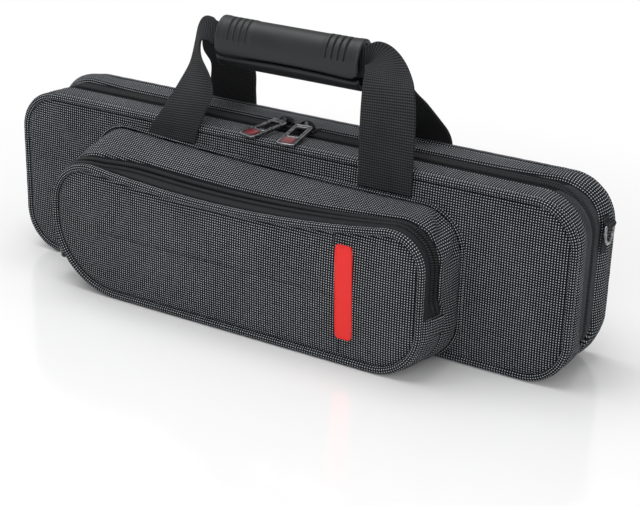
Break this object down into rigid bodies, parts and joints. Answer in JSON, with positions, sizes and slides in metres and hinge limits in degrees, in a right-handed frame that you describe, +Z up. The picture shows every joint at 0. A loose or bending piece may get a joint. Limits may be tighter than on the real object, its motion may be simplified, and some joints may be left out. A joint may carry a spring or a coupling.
{
  "type": "flute case",
  "caption": "Soft-sided zipped flute case with a moulded cradle inside, a zipped front pocket, D-rings and a webbing handle with a wrap-round grip.",
  "frame": {"origin": "centre of the whole object's footprint, on the surface that the case stands on", "axes": "+X along the case, +Z up, -Y towards the pocket side"},
  "size_m": [0.429, 0.1082, 0.1865],
  "materials": {
    "woven_fabric": "charcoal woven fabric flecked with small pale dots",
    "gusset_fabric": "charcoal woven fabric",
    "piping": "the panels' dotted charcoal polyester over cord",
    "foam": "dense foam under fabric",
    "plush": "black plush lining",
    "zip_tape": "fine black ribbed tape",
    "zip_teeth": "black nylon coil",
    "webbing": "black woven webbing",
    "grip_rubber": "soft moulded rubber",
    "pull": "satin black pull",
    "slider": "black painted die casting",
    "red_accent": "plain red",
    "ring_metal": "black painted steel wire"
  },
  "bodies": {
    "base": {"back_panel": "woven_fabric", "back_piping": "piping", "back_zip_gusset": "gusset_fabric", "back_bottom_gusset": "gusset_fabric", "back_foam_shell": "foam", "back_zip_tape": "zip_tape", "back_zip_teeth": "zip_teeth", "instrument_cradle": "plush", "back_strap_ends": "webbing", "left_ring_tab": "webbing", "right_ring_tab": "webbing"},
    "lid": {"front_panel": "woven_fabric", "front_piping": "piping", "front_zip_gusset": "gusset_fabric", "front_bottom_gusset": "gusset_fabric", "front_foam_shell": "foam", "front_zip_tape": "zip_tape", "front_zip_teeth": "zip_teeth", "lid_pad": "plush", "pocket_gusset": "gusset_fabric", "pocket_foot_gusset": "gusset_fabric", "pocket_seam_welt": "piping", "pocket_back_zip_tape": "zip_tape", "pocket_back_zip_teeth": "zip_teeth", "pocket_zip_end_tabs": "gusset_fabric"},
    "pocket_flap": {"pocket_panel": "woven_fabric", "pocket_piping": "piping", "pocket_front_zip_tape": "zip_tape", "pocket_front_zip_teeth": "zip_teeth", "side_tag": "red_accent"},
    "front_strap": {"front_strap": "webbing"},
    "handle": {"back_strap": "webbing", "grip_saddle": "grip_rubber"},
    "grip_flap": {"grip_flap": "grip_rubber"},
    "left_slider": {"left_slider": "slider"},
    "left_pull": {"left_pull": "pull", "left_pull_inset": "red_accent"},
    "right_slider": {"right_slider": "slider"},
    "right_pull": {"right_pull": "pull", "right_pull_inset": "red_accent"},
    "pocket_slider": {"pocket_slider": "slider"},
    "pocket_pull": {"pocket_pull": "pull", "pocket_pull_inset": "red_accent"},
    "left_ring": {"left_ring": "ring_metal"},
    "right_ring": {"right_ring": "ring_metal"}
  },
  "joints": [
    {"name": "lid_open", "type": "hinge", "parent": "base", "child": "lid", "pos_m": [0, 0.02038, 0], "axis": [1, 0, 0], "range_deg": [0, 165], "deforming": ["front_strap"]},
    {"name": "front_strap_swing", "type": "hinge", "parent": "lid", "child": "front_strap", "pos_m": [0, -0.01363, 0.1045], "axis": [1, 0, 0], "range_deg": [0, 102]},
    {"name": "handle_swing", "type": "hinge", "parent": "base", "child": "handle", "pos_m": [0, 0.05413, 0.104], "axis": [-1, 0, 0], "range_deg": [0, 120]},
    {"name": "grip_flap_open", "type": "hinge", "parent": "handle", "child": "grip_flap", "pos_m": [0, 0.02928, 0.1805], "axis": [-1, 0, 0], "range_deg": [0, 120]},
    {"name": "left_zip_travel", "type": "slide", "parent": "base", "child": "left_slider", "axis": [-1, 0, 0], "range_m": [0, 0.16]},
    {"name": "right_zip_travel", "type": "slide", "parent": "base", "child": "right_slider", "axis": [1, 0, 0], "range_m": [0, 0.16]},
    {"name": "left_pull_swing", "type": "hinge", "parent": "left_slider", "child": "left_pull", "pos_m": [-0.0095, 0.02038, 0.1241], "axis": [-1, 0, 0], "range_deg": [0, 72]},
    {"name": "right_pull_swing", "type": "hinge", "parent": "right_slider", "child": "right_pull", "pos_m": [0.0065, 0.02038, 0.1241], "axis": [-1, 0, 0], "range_deg": [0, 72]},
    {"name": "pocket_open", "type": "hinge", "parent": "lid", "child": "pocket_flap", "pos_m": [0, -0.05162, 0.0025], "axis": [1, 0, 0], "range_deg": [0, 35]},
    {"name": "pocket_zip_travel", "type": "slide", "parent": "lid", "child": "pocket_slider", "axis": [0, 0, 1], "range_m": [0, 0.018]},
    {"name": "pocket_pull_swing", "type": "hinge", "parent": "pocket_slider", "child": "pocket_pull", "pos_m": [-0.15193, -0.03518, 0.05], "axis": [0.2257, 0.9742, 0], "range_deg": [0, 150]},
    {"name": "left_ring_swing", "type": "hinge", "parent": "base", "child": "left_ring", "pos_m": [-0.21183, 0.03438, 0.095], "axis": [0, 1, 0], "range_deg": [0, 150]},
    {"name": "right_ring_swing", "type": "hinge", "parent": "base", "child": "right_ring", "pos_m": [0.21183, 0.03438, 0.095], "axis": [0, -1, 0], "range_deg": [0, 150]}
  ]
}
